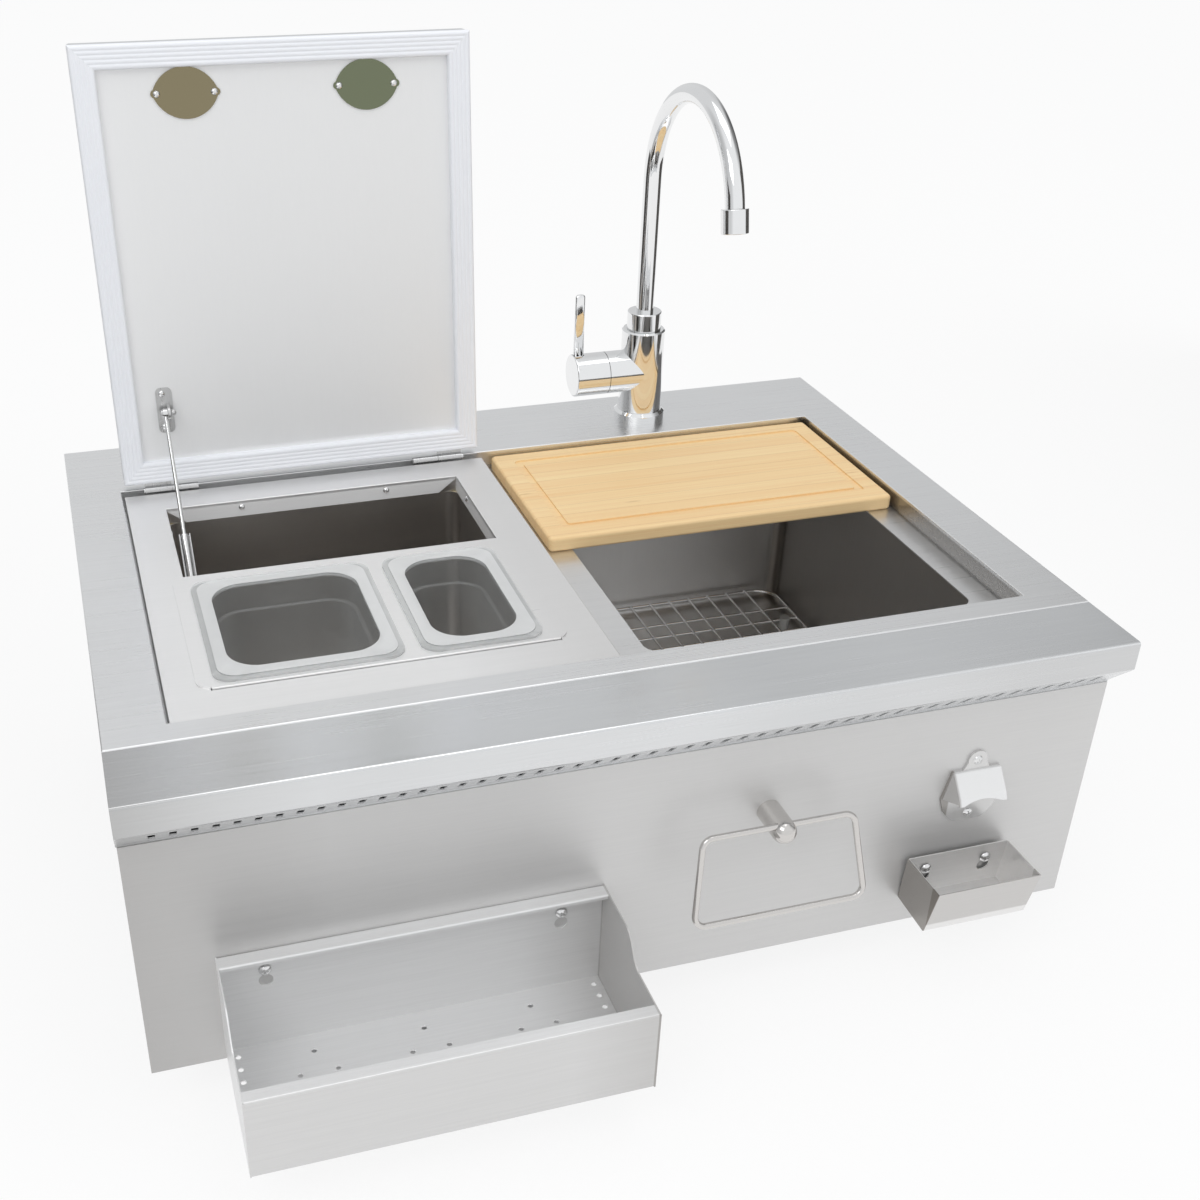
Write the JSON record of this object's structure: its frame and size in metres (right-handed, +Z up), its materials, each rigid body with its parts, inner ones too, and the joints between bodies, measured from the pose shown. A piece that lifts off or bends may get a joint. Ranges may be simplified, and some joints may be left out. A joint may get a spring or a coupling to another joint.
{
  "type": "bar sink with ice bin",
  "caption": "Built-in stainless bar sink with insulated ice bin, hinged lid, garnish pans, bamboo board, gooseneck faucet, bottle rail, opener, cap catcher and towel ring.",
  "frame": {"origin": "mid-width, where the countertop plane meets the cabinet front face, at the front edge of the counter cut-out", "axes": "+X to the right as seen by a person at the front, +Y from the front to the back, +Z up"},
  "size_m": [0.8636, 0.7606, 0.7496],
  "materials": {
    "brushed_steel": "satin",
    "satin_steel": "satin",
    "galvanised_steel": "matt",
    "polished_steel": "polished",
    "screw_steel": "polished",
    "chrome": "polished",
    "brass": "satin",
    "rubber_black": "matt",
    "gasket_white": "satin",
    "foam": "matt",
    "drain_plastic": "matt",
    "clear_plastic": "clear gloss",
    "bamboo": "satin"
  },
  "bodies": {
    "housing": {"bin_drain": "drain_plastic", "bin_drain_nut": "drain_plastic", "bin_insulation": "foam", "bin_jacket": "galvanised_steel", "bin_plate": "brushed_steel", "bin_screws": "screw_steel", "bottle_opener": "polished_steel", "bottom_panel": "galvanised_steel", "catcher_screws": "screw_steel", "deck_pan": "brushed_steel", "faucet_base_ring": "chrome", "faucet_body": "chrome", "faucet_inlets": "brass", "faucet_nut": "brass", "faucet_washer": "rubber_black", "front_nose": "brushed_steel", "front_panel": "brushed_steel", "hinge_frame_leaves": "satin_steel", "hinge_pins": "polished_steel", "ice_tub": "satin_steel", "opener_screws": "screw_steel", "rail_screws": "screw_steel", "rear_panel": "galvanised_steel", "side_panel_left": "galvanised_steel", "side_panel_right": "galvanised_steel", "sink_bowl": "satin_steel", "sink_tailpiece": "brass", "stay_wall_bracket": "satin_steel", "strainer_body": "satin_steel", "strainer_nut": "brass", "top_frame": "brushed_steel", "towel_post": "chrome"},
    "lid": {"lid_skin": "brushed_steel", "lid_liner": "satin_steel", "lid_foam": "foam", "lid_gasket": "gasket_white", "finger_cups": "polished_steel", "cup_plates": "polished_steel", "lid_screws": "screw_steel", "hinge_lid_leaves": "satin_steel", "stay_lid_bracket": "satin_steel"},
    "stay_rod": {"stay_rod": "polished_steel"},
    "stay_tube": {"stay_tube": "polished_steel", "stay_channel": "satin_steel"},
    "spout": {"spout": "chrome", "spout_collar": "chrome", "aerator": "chrome"},
    "cartridge": {"valve_cartridge": "brass"},
    "handle": {"handle_cap": "chrome", "handle_lever": "chrome"},
    "ring": {"towel_ring": "chrome"},
    "pan_holder": {"pan_holder": "brushed_steel"},
    "pan_large": {"garnish_pan_large": "clear_plastic"},
    "pan_small": {"garnish_pan_small": "clear_plastic"},
    "board": {"cutting_board": "bamboo"},
    "grid": {"sink_grid": "polished_steel", "grid_feet": "rubber_black"},
    "basket": {"strainer_basket": "polished_steel"},
    "rail": {"speed_rail": "brushed_steel"},
    "catcher": {"cap_catcher": "brushed_steel"}
  },
  "joints": [
    {"name": "lid_hinge", "type": "hinge", "parent": "housing", "child": "lid", "pos_m": [-0.1907, 0.5065, 0.0136], "axis": [1, 0, 0], "range_deg": [0, 94]},
    {"name": "stay_pivot", "type": "hinge", "parent": "lid", "child": "stay_rod", "pos_m": [-0.3286, 0.50683, 0.09427], "axis": [1, 0, 0], "range_deg": [-93.34, 0]},
    {"name": "stay_slide", "type": "slide", "parent": "stay_rod", "child": "stay_tube", "axis": [0, 0.6717, 0.7408], "range_m": [0, 0.118]},
    {"name": "spout_swivel", "type": "hinge", "parent": "housing", "child": "spout", "pos_m": [0.1977, 0.5591, 0.13], "axis": [0, 0, 1], "range_deg": [-60, 60]},
    {"name": "mixer_turn", "type": "hinge", "parent": "housing", "child": "cartridge", "pos_m": [0.1655, 0.5591, 0.0704], "axis": [1, 0, 0], "range_deg": [-45, 45]},
    {"name": "lever_tilt", "type": "hinge", "parent": "cartridge", "child": "handle", "pos_m": [0.1533, 0.5591, 0.0474], "axis": [0, -1, 0], "range_deg": [0, 20]},
    {"name": "ring_swing", "type": "hinge", "parent": "housing", "child": "ring", "pos_m": [0.11, -0.0314, -0.112], "axis": [1, 0, 0], "range_deg": [-75, 30]},
    {"name": "pan_holder_lift", "type": "slide", "parent": "housing", "child": "pan_holder", "axis": [0, 0, 1], "range_m": [0, 0.12]},
    {"name": "pan_large_lift", "type": "slide", "parent": "pan_holder", "child": "pan_large", "axis": [0, 0, 1], "range_m": [0, 0.12]},
    {"name": "pan_small_lift", "type": "slide", "parent": "pan_holder", "child": "pan_small", "axis": [0, 0, 1], "range_m": [0, 0.12]},
    {"name": "board_slide", "type": "slide", "parent": "housing", "child": "board", "axis": [0, -1, 0], "range_m": [0, 0.22]},
    {"name": "grid_lift", "type": "slide", "parent": "housing", "child": "grid", "axis": [0, 0, 1], "range_m": [0, 0.16]},
    {"name": "basket_lift", "type": "slide", "parent": "housing", "child": "basket", "axis": [0, 0, 1], "range_m": [0, 0.006]},
    {"name": "rail_lift", "type": "slide", "parent": "housing", "child": "rail", "axis": [0, 0, 1], "range_m": [0, 0.011]},
    {"name": "catcher_lift", "type": "slide", "parent": "housing", "child": "catcher", "axis": [0, 0, 1], "range_m": [0, 0.01]}
  ],
  "couplings": [
    {"joint": "stay_pivot", "follows": "lid_hinge", "ratio": -0.99287},
    {"joint": "stay_slide", "follows": "lid_hinge", "m_per_rad": 0.071907}
  ]
}
